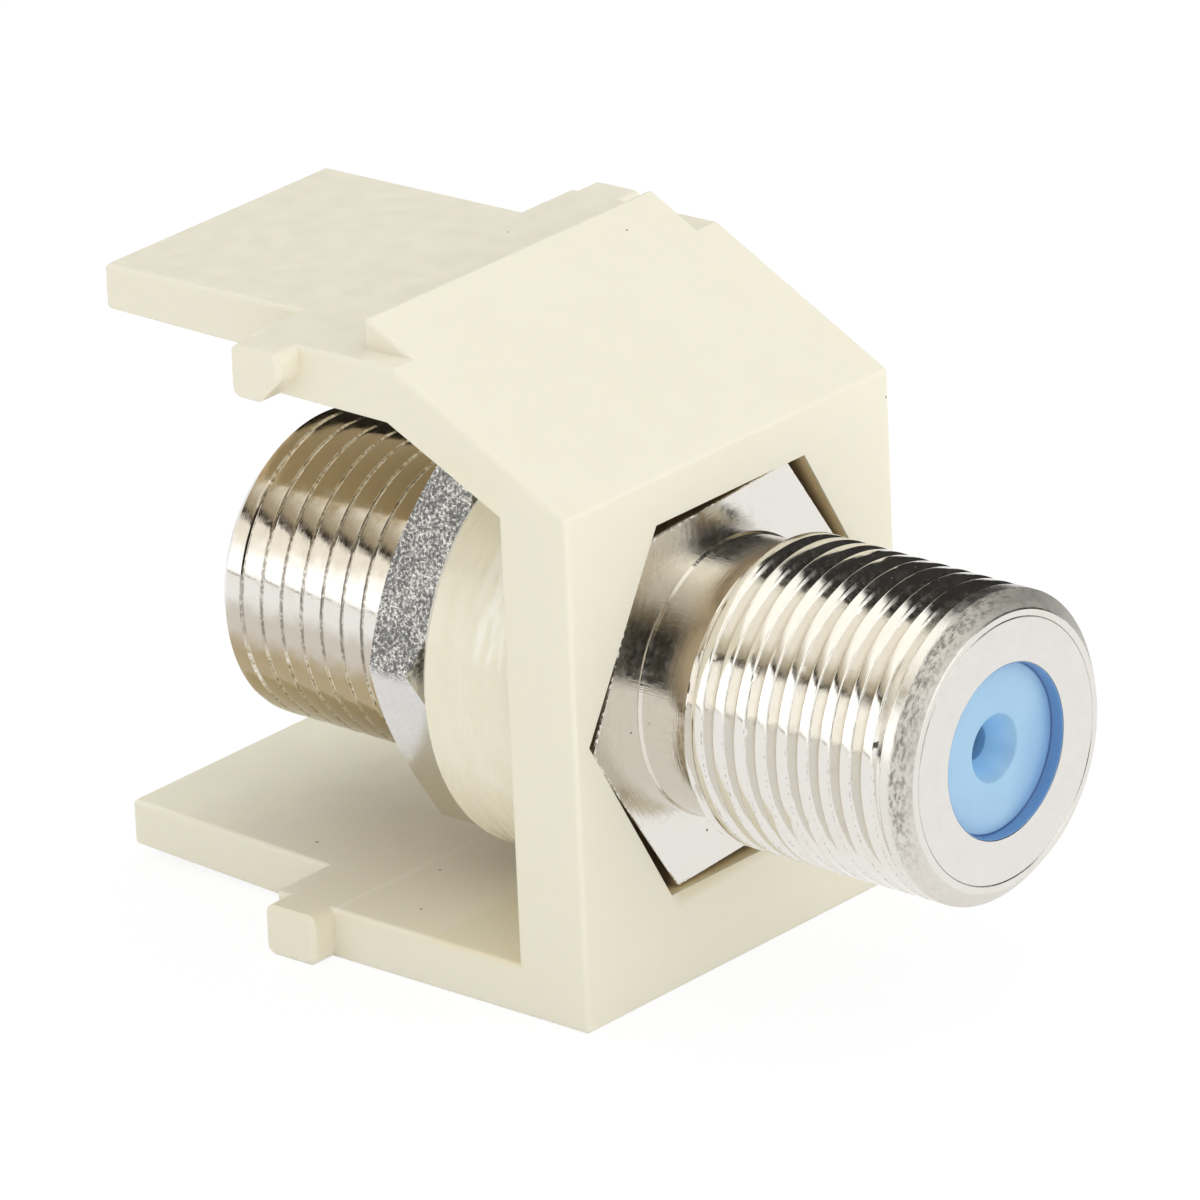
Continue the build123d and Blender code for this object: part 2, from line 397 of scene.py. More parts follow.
# A row of an outline is its depth, radius, how far it follows the helix, hexagon share and thread
def ringRow(depth, radius, hexagon=0.0, thread=noThread):
    return (depth, radius, 0.0, hexagon, thread)


def slopeRows(depths, radii, steps, thread):
    rows = []
    for i in range(steps + 1):
        share = i / steps
        depth, radius = [ends[0] + (ends[1] - ends[0]) * share for ends in (depths, radii)]
        rows.append(ringRow(depth, radius, thread=thread))
    return rows


def blendRows(start, stop, first, last, thread, steps):
    # Crest rows between a plain ring and the thread, which follow the helix more and more, or less and less
    rows = []
    for i in range(1, steps):
        share = i / steps
        follow = first + (last - first) * share
        rows.append((start + (stop - start) * share, coupler["crest"], follow, 0.0, thread))
    return rows


def threadRows(thread):
    pitch, centre = coupler["pitch"], thread["grooveAt"]
    start, stop = thread["span"]
    offsets = [-coupler["landMiddle"]] + [side * away for side in (-1, 1) for away in thread["rows"]]
    found = []
    turn = math.floor((start - centre) / pitch) - 1
    while centre + turn * pitch - pitch < stop:
        found += [centre + turn * pitch + offset for offset in offsets]
        turn += 1
    return [(depth, coupler["crest"], 1.0, 0.0, thread) for depth in sorted(found) if start <= depth <= stop]


def frontRows(facts):
    front, crest, chamfer = facts["frontEnd"], facts["crest"], facts["endChamfer"]
    seat, seatBreak = facts["ringSeat"], facts["seatBreak"]
    rimAlong, rimAcross = facts["rimBreak"]
    start, stop = frontThread["span"]
    rows = [ringRow(front + seatBreak, seat), ringRow(front, seat + seatBreak)]
    rows += [ringRow(front, crest - chamfer - rimAcross), ringRow(front + rimAlong, crest - chamfer)]
    rows += [ringRow(front + chamfer / 2, crest - chamfer / 2)]
    rows += [ringRow(front + chamfer, crest, thread=frontThread)]
    rows += blendRows(front + chamfer, start, 0, 1, frontThread, facts["blendSteps"])
    rows += threadRows(frontThread)
    rows += blendRows(stop, facts["shoulder"][0], 1, 0, frontThread, facts["blendSteps"])
    return rows + slopeRows(facts["shoulder"], (crest, facts["neck"]), facts["slopeSteps"], frontThread)


def flangeRows(facts):
    neck, crest, face, back = facts["neck"], facts["crest"], facts["flangeFace"], facts["flangeBack"]
    half, broken, start = facts["flangeHalf"], facts["flangeBreak"], facts["shoulder"][1]
    rows = [ringRow(start + (face - start) * share, neck) for share in facts["neckRows"]]
    rows += [ringRow(face, neck + facts["neckFillet"])]
    rows += [ringRow(face, radius) for radius in facts["flangeRings"]]
    rows += [ringRow(face, half - broken, 1), ringRow(face + broken, half, 1), ringRow(back, half, 1)]
    return rows + [ringRow(back, crest), ringRow(facts["bossBack"], crest)]


def rearRows(facts):
    nut, rear, crest, chamfer = facts["nutBack"], facts["rearEnd"], facts["crest"], facts["endChamfer"]
    port, portBreak, root = facts["port"], facts["portBreak"], facts["rootInNut"]
    start, stop = rearThread["span"]
    rows = [ringRow(facts["bossBack"], root), ringRow(nut, root), ringRow(nut, crest, thread=rearThread)]
    rows += blendRows(nut, start, 0, 1, rearThread, facts["blendSteps"])
    rows += threadRows(rearThread)
    rows += blendRows(stop, rear - chamfer, 1, 0, rearThread, facts["rearBlendSteps"])
    slope = slopeRows((rear - chamfer, rear), (crest, crest - chamfer), facts["slopeSteps"], rearThread)
    rows += slope[:-1] + [ringRow(rear, crest - chamfer)]
    return rows + [ringRow(rear, port + portBreak), ringRow(rear - portBreak, port)]


def insideRows(facts):
    lip, seat = facts["rearEnd"] - facts["rearLip"], facts["frontEnd"] + facts["ringDepth"]
    return [ringRow(lip, facts["port"]), ringRow(lip, facts["cavity"]),
            ringRow(seat, facts["cavity"]), ringRow(seat, facts["ringSeat"])]


def outlineMesh(name, rows):
    # The outline as edges; what each row carries goes into the tree as attributes
    mesh = bpy.data.meshes.new(name)
    count = len(rows)
    points = [(row[0] * mm, row[1] * mm, 0) for row in rows]
    mesh.from_pydata(points, [(i, (i + 1) % count) for i in range(count)], [])
    columns = {
        "alongOutline": [row[0] * mm for row in rows],
        "outlineRadius": [row[1] * mm for row in rows],
        "follow": [row[2] for row in rows],
        "hexagon": [row[3] for row in rows],
    }
    labels = {"grooveHalf": "half", "grooveDepth": "depth", "crown": "crown", "grooveAt": "grooveAt"}
    for label, key in labels.items():
        columns[label] = [row[4][key] * mm for row in rows]
    for label, values in columns.items():
        mesh.attributes.new(label, "FLOAT", "POINT").data.foreach_set("value", values)
    return mesh


def turnedThreadTree(facts):
    tree = bpy.data.node_groups.new("turnedThread", "GeometryNodeTree")
    sizes = ("Pitch", "Crest Radius", "Flange Turn", "Fade From", "Fade To", "Raggedness", "Ragged Size",
             "Axis Height", "Depth Zero")
    inputs = [("Outline", "Geometry")] + [(name, "Float") for name in sizes]
    for name, kind in inputs + [("Segments", "Int"), ("Finish", "Material")]:
        tree.interface.new_socket(name, in_out="INPUT", socket_type="NodeSocket" + kind)
    tree.interface.new_socket("Body", in_out="OUTPUT", socket_type="NodeSocketGeometry")
    given = addNode(tree, "NodeGroupInput").outputs
    pitch, crest = given["Pitch"], given["Crest Radius"]

    def row(name):
        made = addNode(tree, "GeometryNodeInputNamedAttribute", {"Name": name}, data_type="FLOAT")
        return made.outputs["Attribute"]

    def store(geometry, name, value):
        sockets = {"Geometry": geometry, "Name": name, "Value": value}
        made = join("GeometryNodeStoreNamedAttribute", sockets, data_type="FLOAT", domain="POINT")
        return made.outputs["Geometry"]

    # A ring of points carries the angle, and the outline is swept along it
    circle = join("GeometryNodeCurvePrimitiveCircle", {"Resolution": given["Segments"]}, mode="RADIUS")
    share = maths("DIVIDE", addNode(tree, "GeometryNodeInputIndex").outputs[0], given["Segments"])
    angle = plus(times(share, fullTurn), given["Flange Turn"])
    marked = store(circle.outputs["Curve"], "angle", angle)
    outline = join("GeometryNodeMeshToCurve", {"Mesh": given["Outline"]}).outputs["Curve"]
    swept = join("GeometryNodeCurveToMesh", {"Curve": marked, "Profile Curve": outline}).outputs["Mesh"]
    angle = row("angle")
    cosine, sine = maths("COSINE", angle), maths("SINE", angle)
    # Lean of the rows along the helix: even round most of the turn and back again below the axis. Two turns
    # more keep the angle above zero
    turned = plus(angle, math.pi / 2 + 2 * fullTurn)
    turned = maths("FRACT", maths("DIVIDE", turned, fullTurn))
    edge = maths("PINGPONG", turned, 0.5)
    back = facts["leanBack"]
    near = remap(edge, (0.0, back), 0.0, 0.5 - back, smooth=False)
    lean = maths("MINIMUM", near, minus(0.5, edge))
    lean = times(maths("SIGN", minus(turned, 0.5)), lean)
    depth = minus(row("alongOutline"), times(lean, pitch, row("follow")))
    # Distance from the nearest groove's centre. Whole turns are added, to keep the phase above zero
    wholeTurns = 64
    angleTurns = maths("DIVIDE", minus(angle, math.pi / 2), fullTurn)
    phase = maths("DIVIDE", minus(depth, row("grooveAt")), pitch)
    phase = plus(phase, angleTurns, wholeTurns + 0.5)
    away = times(minus(maths("FRACT", phase), 0.5), pitch)
    place = vector(times(cosine, crest), depth, times(sine, crest))
    scale = maths("DIVIDE", 1.0, given["Ragged Size"])
    wander = join("ShaderNodeTexNoise", {"Vector": place, "Scale": scale, "Detail": 3.0}).outputs["Fac"]
    wander = times(minus(wander, 0.5), given["Raggedness"])
    away = maths("ABSOLUTE", plus(away, wander))
    # Groove: a flat root, straight flanks and a small corner at the crest
    half, deep, flankShare = row("grooveHalf"), row("grooveDepth"), facts["flankShare"]
    flank = minus(half, facts["flankCorner"] * mm)
    slope = remap(away, (facts["rootHalf"] * mm, flank), 1.0, flankShare, smooth=False)
    corner = remap(away, (flank, half), flankShare, 0.0, smooth=False)
    cut = mixNumber(maths("GREATER_THAN", away, flank), slope, corner)
    fade = remap(depth, (given["Fade From"], given["Fade To"]))
    cut = times(cut, deep, fade)
    # Land: crowned a little from its edge to its middle
    halfPitch = times(pitch, 0.5)
    landShare = maths("DIVIDE", minus(halfPitch, away), minus(halfPitch, half))
    landShare = maths("MINIMUM", maths("ABSOLUTE", landShare), 1.0)
    crown = times(maths("POWER", landShare, 2.0), row("crown"), fade)
    threaded = minus(minus(crest, cut), crown)
    threaded = maths("MINIMUM", threaded, row("outlineRadius"))
    least = 0.00001  # a groove this shallow isn't one
    radius = mixNumber(maths("GREATER_THAN", deep, least), row("outlineRadius"), threaded)
    # Hexagon flange: the radius grows towards the six corners
    nudge = 0.0001  # keeps the rows that lie on a corner on one side of it
    local = plus(minus(angle, given["Flange Turn"]), nudge)
    local = maths("FRACT", maths("DIVIDE", local, sixth))
    local = minus(times(local, sixth), sixth / 2)
    corners = maths("DIVIDE", radius, maths("COSINE", local))
    radius = mixNumber(row("hexagon"), radius, corners)
    put = vector(times(cosine, radius), minus(depth, given["Depth Zero"]),
                 plus(times(sine, radius), given["Axis Height"]))
    # How deep in the groove a point is, for the material
    stored = store(swept, "groove", maths("DIVIDE", cut, maths("MAXIMUM", deep, least)))
    placed = join("GeometryNodeSetPosition", {"Geometry": stored, "Position": put}).outputs[0]
    real = join("GeometryNodeRealizeInstances", {"Geometry": placed}).outputs[0]
    dressed = join("GeometryNodeSetMaterial", {"Geometry": real, "Material": given["Finish"]}).outputs[0]
    join("NodeGroupOutput", {"Body": dressed})
    return tree


def applyTree(holder, tree, values):
    # Sets the named inputs by their identifiers, then turns the result into a plain mesh
    modifier = holder.modifiers.new(tree.name, "NODES")
    modifier.node_group = tree
    for item in tree.interface.items_tree:
        if item.in_out == "INPUT" and item.name in values:
            modifier[item.identifier] = values[item.name]
    bpy.context.view_layer.update()
    graph = bpy.context.evaluated_depsgraph_get()
    mesh = bpy.data.meshes.new_from_object(holder.evaluated_get(graph))
    holder.modifiers.remove(modifier)
    return mesh


def cleanMesh(mesh, tolerance=1e-7, sharp=28):
    work = bmesh.new()
    work.from_mesh(mesh)
    bmesh.ops.remove_doubles(work, verts=work.verts, dist=tolerance)
    bmesh.ops.recalc_face_normals(work, faces=work.faces)
    work.to_mesh(mesh)
    work.free()
    mesh.shade_smooth()
    mesh.set_sharp_from_angle(angle=math.radians(sharp))
    mesh.update()


# In the finishes lengths are in mm and turns in degrees. A span goes from a zone's start to where it is full,
# and two numbers after a span are the levels there
ivory = {
    "colour": (0.84, 0.80, 0.66, 1),
    "warmPatch": (0.825, 0.78, 0.635, 1),
    "warmPattern": (4.0, 3, 0.35, 0.7),
    "warmShare": 0.35,
    "frontFace": -4.95,
    "plateBack": -2.5,
    # painted shade between the arms, darker and yellower
    "between": (0.83, 0.775, 0.60, 1),
    "betweenShare": 0.6,
    "betweenAlong": ((-2.9, -2.0), (9.0, 6.0)),
    "betweenTop": (17.6, 17.0),
    "betweenFloor": (1.6, 1.0),
    # painted shade inside the hexagon pocket, deep and at its rim
    "pocket": (0.30, 0.21, 0.12, 1),
    "pocketRimShade": (0.86, 0.70, 0.40, 1),
    "pocketHalf": 5.7,
    "pocketReach": (6.95, 6.85),  # from the bore's axis
    "pocketEnd": (-0.1, -0.3),  # from the plate's back
    "rimDepth": (0.02, 0.12),  # from the front face
    "deepDepth": (0.25, 0.8),  # from the front face
    # painted shade on the front face next to the pocket's lower and right edge
    "pocketEdgeShade": (0.66, 0.58, 0.36, 1),
    "haloShare": 0.7,
    "haloWidth": 0.55,
    "haloDepth": (0.03, 0.0),  # from the front face
    "haloTurn": -55,
    "haloSide": (-0.1, 0.6),  # cosines of the angle from there
    "armTop": ((1.72, 1.66), (1.45, 1.5)),
    "paleLine": (0.93, 0.90, 0.80, 1),
    "paleLineShare": 0.45,
    "paleLineAt": 4.83,
    "paleLineHalf": (0.09, 0.02),
    # painted shade on the lower arm's top next to the plate
    "plateShade": (0.79, 0.70, 0.47, 1),
    "nearShare": 0.4,
    "nearAlong": ((1.2, 0.85), (-2.6, -2.4)),
    "paleTop": (0.92, 0.88, 0.72, 1),
    "paleAlong": (7.0, 11.0),
    "paleHeight": ((2.3, 2.1), (1.7, 1.8)),
    "speck": (0.33, 0.24, 0.14, 1),
    "speckCore": 0.5,
    # Small dark inclusions that the photo shows: place and size
    "specks": [(7.19, -4.95, 15.35, 0.05), (4.27, 2.37, 19.98, 0.05), (3.36, 6.27, 19.37, 0.05),
               (-3.93, 8.56, 1.64, 0.07), (-3.34, 4.19, 1.60, 0.06), (-5.88, 2.73, 1.60, 0.06)],
    "bossReach": (6.75, 6.7),
    "bossStart": (0.0, 0.1),  # from the plate's back
    "streakStretch": 1.2,  # mm of pattern for each radian round the boss
    "streakPattern": (0.9, 2, 0.35, 0.65),
    "streakRoughness": (0.14, 0.42),
    # painted highlight in streaks on the boss's upper left
    "bossHighlight": (0.97, 0.95, 0.87, 1),
    "bossHighlightShare": 0.6,
    "bossHighlightPattern": (0.28, 3, 0.40, 0.60),
    "bossHighlightTurn": 152,
    "bossHighlightHalf": (0.30, 0.22),  # radians each side of that
    "bossHighlightAlong": (0.4, -0.6),
    "gloss": 0.9,
    "glossPattern": (0.5, 2, 0.42, 0.58),
    "glossRoughness": 0.12,
    "roughness": (0.36, 0.48),
    "roughPattern": (0.8, 3, 0.3, 0.7),
    "fineRipple": (0.09, 2),
    "fineShare": 0.25,
    "wideRipple": (1.6, 2),
    "bump": (0.25, 0.02),
    "scatter": 0.12,
    "scatterReach": (0.0009, 0.0007, 0.0004),
}


def pocketShade(facts, at, colour):
    # Painted shade: brown in the depth of the hexagon pocket behind the front face, paler at its rim
    behindFace = minus(at["along"], facts["frontFace"] * mm)
    inPocket = times(ramp(at["radius"], facts["pocketReach"]), ramp(at["behindPlate"], facts["pocketEnd"]))
    rim = times(ramp(behindFace, facts["rimDepth"]), inPocket)
    colour = mixColour(rim, colour, facts["pocketRimShade"])
    deep = times(ramp(behindFace, facts["deepDepth"]), inPocket)
    colour = mixColour(deep, colour, facts["pocket"])
    # Painted shade: brown on the front face close to the pocket's lower and right edge
    local = minus(at["angle"], math.radians(coupler["flangeTurn"]) - fullTurn)
    local = minus(maths("MODULO", local, sixth), sixth / 2)
    fromMiddle = times(at["radius"], maths("COSINE", local))
    half = facts["pocketHalf"]
    lowRight = maths("COSINE", angleFrom(at, facts["haloTurn"]))
    pocketEdgeShade = times(ramp(fromMiddle, (half + facts["haloWidth"], half)),
                 ramp(behindFace, facts["haloDepth"]),
                 remap(lowRight, facts["haloSide"], 0.0, facts["haloShare"]))
    return mixColour(pocketEdgeShade, colour, facts["pocketEdgeShade"])


def armLineAndPaintedLight(facts, at, colour):
    # On the lower arm's top a faint paler line, and painted shade next to the plate: a darker, yellower field
    onTop = band(at["height"], *facts["armTop"])
    fromPaleLine = maths("ABSOLUTE", minus(at["along"], facts["paleLineAt"] * mm))
    paleLine = times(ramp(fromPaleLine, facts["paleLineHalf"], 0.0, facts["paleLineShare"]), onTop)
    colour = mixColour(paleLine, colour, facts["paleLine"])
    near = times(band(at["along"], *facts["nearAlong"]), facts["nearShare"], onTop)
    colour = mixColour(near, colour, facts["plateShade"])
    # Top of the lower tongue, paler where the light comes in from behind
    pale = times(ramp(at["along"], facts["paleAlong"]), band(at["height"], *facts["paleHeight"]))
    return mixColour(pale, colour, facts["paleTop"])


def ivoryPlastic(facts, at):
    place, along = at["place"], at["along"]
    warm = patchy(place, facts["warmPattern"], 0.0, facts["warmShare"])
    colour = mixColour(warm, facts["colour"], facts["warmPatch"])
    # Between the arms painted shade: a slightly darker, yellower colour where the arms shade each other
    inner = times(band(along, *facts["betweenAlong"]), ramp(at["height"], facts["betweenTop"]),
                  minus(1.0, ramp(at["height"], facts["betweenFloor"])), facts["betweenShare"])
    colour = mixColour(inner, colour, facts["between"])
    at["behindPlate"] = minus(along, facts["plateBack"] * mm)
    colour = pocketShade(facts, at, colour)
    colour = armLineAndPaintedLight(facts, at, colour)
    colour = addSpots(at, colour, facts["specks"], facts["speckCore"], facts["speck"])
    # The boss was dragged out of the mould, so its side is glossy in streaks; at its upper left lies a
    # painted highlight in streaks
    streaks = vector(times(at["angle"], facts["streakStretch"] * mm), along)
    onBoss = times(ramp(at["radius"], facts["bossReach"]), ramp(at["behindPlate"], facts["bossStart"]))
    fromPatch = maths("ABSOLUTE", angleFrom(at, facts["bossHighlightTurn"]))
    bossHighlights = times(remap(fromPatch, facts["bossHighlightHalf"]), ramp(along, facts["bossHighlightAlong"]),
                   patchy(streaks, facts["bossHighlightPattern"], 0.0, facts["bossHighlightShare"]), onBoss)
    rough = mixNumber(onBoss, patchy(place, facts["roughPattern"], *facts["roughness"]),
                      patchy(streaks, facts["streakPattern"], *facts["streakRoughness"]))
    fine = times(noise(place, *facts["fineRipple"]), facts["fineShare"])
    ripple = plus(fine, noise(place, *facts["wideRipple"]))
    return {
        "Base Color": mixColour(bossHighlights, colour, facts["bossHighlight"]),
        "Roughness": rough,
        "Coat Weight": times(patchy(streaks, facts["glossPattern"], 0.0, facts["gloss"]), onBoss),
        "Coat Roughness": facts["glossRoughness"],
        "Subsurface Weight": facts["scatter"],
        "Subsurface Radius": facts["scatterReach"],
        "Subsurface Scale": 1.0,
        "IOR": 1.5,
        "Normal": bump(ripple, *facts["bump"]),
    }


nickel = {
    "colour": (0.80, 0.775, 0.725, 1),
    "stain": (0.55, 0.46, 0.33, 1),
    "blotchPattern": (1.1, 4, 0.5, 0.75),
    "blotchShare": 0.1,
    "root": (0.6, 0.98),  # shares of a groove's depth
    "rootShare": 0.25,
    "unevenPattern": (0.5, 3),
    "unevenness": 0.16,
    # Rear thread, by how far a point is above (1) or below (-1) the axis
    "rearAlong": (4.1, 4.2),
    # painted reflection of the shaded plastic, brown above and below the rear thread
    "paintedReflectionAbove": (0.38, 0.29, 0.17, 1),
    "aboveRise": (0.70, 0.80),
    "paintedReflectionBelow": (0.415, 0.330, 0.190, 1),
    "belowRise": (-0.08, -0.30),
    # painted reflection: the rear thread dims towards its upper and lower side
    "reflectionFringe": (0.50, 0.44, 0.35, 1),
    "fringeAbove": ((0.34, 0.50), 0.0, 0.8),
    "fringeBelow": ((0.14, -0.02), 0.0, 0.7),
    # painted highlight lines in the rear grooves
    "bright": (0.84, 0.79, 0.69, 1),
    "linePattern": (0.14, 3, 0.38, 0.56),
    "lineLevels": (0.15, 0.9),
    "lineGroove": (0.01, 0.06),
    "darkLineShare": 0.7,
    # Flange and neck
    "neckAlong": ((-6.7, -6.6), (-4.6, -4.7)),
    "neckReach": (4.34, 4.30),
    "neck": (0.76, 0.72, 0.645, 1),
    "neckRoughness": 0.035,
    # painted dark reflection on the neck and flange at the upper left
    "darkReflection": (0.50, 0.475, 0.42, 1),
    "darkReflectionShare": 0.7,
    "darkReflectionTurn": 135,
    "darkReflectionHalf": (0.40, 0.12),  # radians each side of that
    # painted brown reflection on the neck next to the thread
    "neckFrontReflection": (0.47, 0.38, 0.26, 1),
    "frontAlong": (-5.3, -6.35),
    "frontRise": (0.12, 0.28),
    "frontMatt": 0.4,
    # painted reflection, beige at the flange's upper left
    "beigeReflection": (0.80, 0.74, 0.59, 1),
    "beigeAcross": (-1.1, -2.3),
    "beigeHeight": ((12.0, 14.2), 0.0, 0.62),
    "beigeMatt": 0.8,
    "beigeRoughness": 0.25,
    "smearPattern": (0.16, 4, 0.65),
    "smearSquash": 0.25,
    "smearReach": 1.8,
    "smearLift": 1.2,
    # painted glints along the flange's worn rim
    "chip": (0.96, 0.94, 0.90, 1),
    "glintPattern": (0.13, 3, 0.5, 0.58),
    "glintRim": (0.85, 0.95),  # hexagon shares
    "glintAlong": (-4.70, -4.74),
    "glintMatt": 0.85,
    # Two small pits in the flange's face that the photo shows: place and size
    "flangePits": [(-1.45, -4.75, 4.42, 0.055), (-4.66, -4.75, 8.62, 0.045)],
    "pitCore": 0.6,
    # Worn edges of the crests
    # dark of worn marks and pits, and of painted shade in the rear grooves and on the chamfer
    "darkMarksAndShade": (0.20, 0.18, 0.15, 1),
    "dotPattern": (0.15, 4, 0.48, 0.68, 0.65),
    "dotShare": 0.5,
    "dotRise": ((0.5, 0.0), 0.35, 1.0),
    "crestEdge": ((0.002, 0.012), (0.13, 0.05)),  # shares of a groove's depth
    # Pitted front chamfer and the last land before it
    "endAlong": (-14.45, -14.6),
    "endFace": (-15.0, -15.04),
    "endRoughness": 0.34,
    "strokeStretch": 2.0,  # mm of pattern for each radian
    "specklePattern": (0.12, 5, 0.42, 0.64, 0.7),
    "speckleShare": 0.8,
    "speckleTurn": 140,
    "speckleSide": ((0.2, 0.85), 0.1, 1.0),  # cosines of the angle from there
    "speckleAlong": ((-14.98, -14.7), 0.35, 1.0),
    "lastLand": ((-13.75, -14.1), 0.0, 0.16),
    # Relief and roughness
    "roughness": (0.07, 0.18),
    "wearPattern": (0.25, 4, 0.35, 0.7),
    "markStretch": 0.22,  # mm of pattern for each radian
    "fineMarks": (0.045, 2),
    "wideMarks": (0.16, 3),
    "markLevels": (0.5, 0.9),
    "wipePattern": (0.07, 2),
    "wipeSquash": 0.08,
    "wipeDepth": 1.2,
    "pitPattern": (0.09, 2, 0.72, 0.78),
    "gritPattern": (0.055, 2),
    "gritDepth": 1.5,
    "bump": (0.5, 0.006),
}


def attribute(tree, name):
    return addNode(tree, "ShaderNodeAttribute", attribute_name=name, attribute_type="GEOMETRY").outputs["Fac"]


def nickelZones(facts, at):
    # Which part of the turned body a point is on, each as a share from 0 to 1
    along, tree = at["along"], at["place"].id_data
    neck = band(along, *facts["neckAlong"])
    uneven = minus(noise(at["place"], *facts["unevenPattern"]), 0.5)
    upDown = maths("DIVIDE", times(maths("SINE", at["angle"]), at["radius"]), coupler["crest"] * mm)
    at["upDown"] = plus(upDown, times(uneven, facts["unevenness"]))
    at["groove"], at["hexagon"] = attribute(tree, "groove"), attribute(tree, "hexagon")
    at["rear"] = ramp(along, facts["rearAlong"])
    at["neck"] = neck
    at["onNeck"] = times(neck, ramp(at["radius"], facts["neckReach"]))
    at["end"] = minus(ramp(along, facts["endAlong"]), ramp(along, facts["endFace"]))


def flangeToneAndReflections(facts, at, colour):
    # Neck and flange have no stains, but a painted dark reflection as a band at the upper left and a painted
    # brown reflection next to the thread
    neck, onNeck, across, height = at["neck"], at["onNeck"], at["across"], at["height"]
    colour = mixColour(neck, colour, facts["colour"])
    colour = mixColour(onNeck, colour, facts["neck"])
    fromBand = maths("ABSOLUTE", angleFrom(at, facts["darkReflectionTurn"]))
    darkReflection = times(remap(fromBand, facts["darkReflectionHalf"], 0.0, facts["darkReflectionShare"]), neck)
    colour = mixColour(darkReflection, colour, facts["darkReflection"])
    brown = times(onNeck, ramp(at["along"], facts["frontAlong"]))
    at["brown"] = times(brown, remap(at["upDown"], facts["frontRise"]))
    colour = mixColour(at["brown"], colour, facts["neckFrontReflection"])
    # Painted reflection: a dull beige patch with smeared edges at the flange's upper left
    smear = noise(vector(across, 0.0, times(height, facts["smearSquash"])), *facts["smearPattern"])
    smear = times(minus(smear, 0.5), facts["smearReach"] * mm)
    upward = plus(height, times(smear, facts["smearLift"]))
    at["beigeReflection"] = times(ramp(plus(across, smear), facts["beigeAcross"]),
                       ramp(upward, *facts["beigeHeight"]), minus(neck, onNeck))
    colour = mixColour(at["beigeReflection"], colour, facts["beigeReflection"])
    # Small bright spots along the flange's worn rim: painted glints
    at["chips"] = times(remap(at["hexagon"], facts["glintRim"]),
                        patchy(at["place"], facts["glintPattern"]), ramp(at["along"], facts["glintAlong"]))
    return mixColour(at["chips"], colour, facts["chip"])


def wornCrests(facts, at, colour):
    # Dark dots where the plating is worn through along the crests' edges
    dots = times(zone(at["groove"], *facts["crestEdge"]),
                 patchy(at["place"], facts["dotPattern"], 0.0, facts["dotShare"]),
                 remap(at["upDown"], *facts["dotRise"]))
    return mixColour(dots, colour, facts["darkMarksAndShade"])


def rearPaintedReflection(facts, at, colour):
    # Painted reflection of the shaded plastic: warm brown on the upper and lower side of the rear thread
    above = times(remap(at["upDown"], facts["aboveRise"]), at["rear"])
    below = times(remap(at["upDown"], facts["belowRise"]), at["rear"])
    colour = mixColour(above, colour, facts["paintedReflectionAbove"])
    colour = mixColour(below, colour, facts["paintedReflectionBelow"])
    # Patchy painted lines in its grooves: bright highlights in the painted brown, dark shade elsewhere
    browned = maths("MAXIMUM", above, below)
    outsideBrown = times(minus(1.0, browned), facts["darkLineShare"])
    paintedReflection = times(remap(at["groove"], facts["lineGroove"]), at["rear"],
                 patchy(at["place"], facts["linePattern"], *facts["lineLevels"]))
    colour = mixColour(times(paintedReflection, outsideBrown), colour, facts["darkMarksAndShade"])
    return mixColour(times(paintedReflection, browned), colour, facts["bright"])


def chamferSpeckle(facts, at, colour):
    # Short dark strokes on the front chamfer: pits, with more of them at its upper left as painted shade
    strokes = vector(at["radius"], at["along"], times(at["angle"], facts["strokeStretch"] * mm))
    upperLeft = maths("COSINE", angleFrom(at, facts["speckleTurn"]))
    speckle = times(patchy(strokes, facts["specklePattern"], 0.0, facts["speckleShare"]),
                    remap(upperLeft, *facts["speckleSide"]), ramp(at["along"], *facts["speckleAlong"]))
    return mixColour(times(speckle, at["end"]), colour, facts["darkMarksAndShade"])


def nickelRelief(facts, at):
    # Turning marks run round the axis, so they change with the radius and with the place along it
    place, angle, along = at["place"], at["angle"], at["along"]
    rounds = vector(at["radius"], along, times(angle, facts["markStretch"] * mm))
    marks = plus(noise(rounds, *facts["fineMarks"]), noise(rounds, *facts["wideMarks"]))
    marks = times(marks, remap(at["neck"], (0, 1), *facts["markLevels"]))
    # Wipes run along the neck
    lengthwise = vector(times(angle, coupler["neck"] * mm), times(along, facts["wipeSquash"]))
    wipes = times(noise(lengthwise, *facts["wipePattern"]), at["onNeck"], facts["wipeDepth"])
    pits = patchy(place, facts["pitPattern"])
    grit = times(noise(place, *facts["gritPattern"]), at["end"], facts["gritDepth"])
    return minus(plus(marks, wipes), plus(pits, grit))


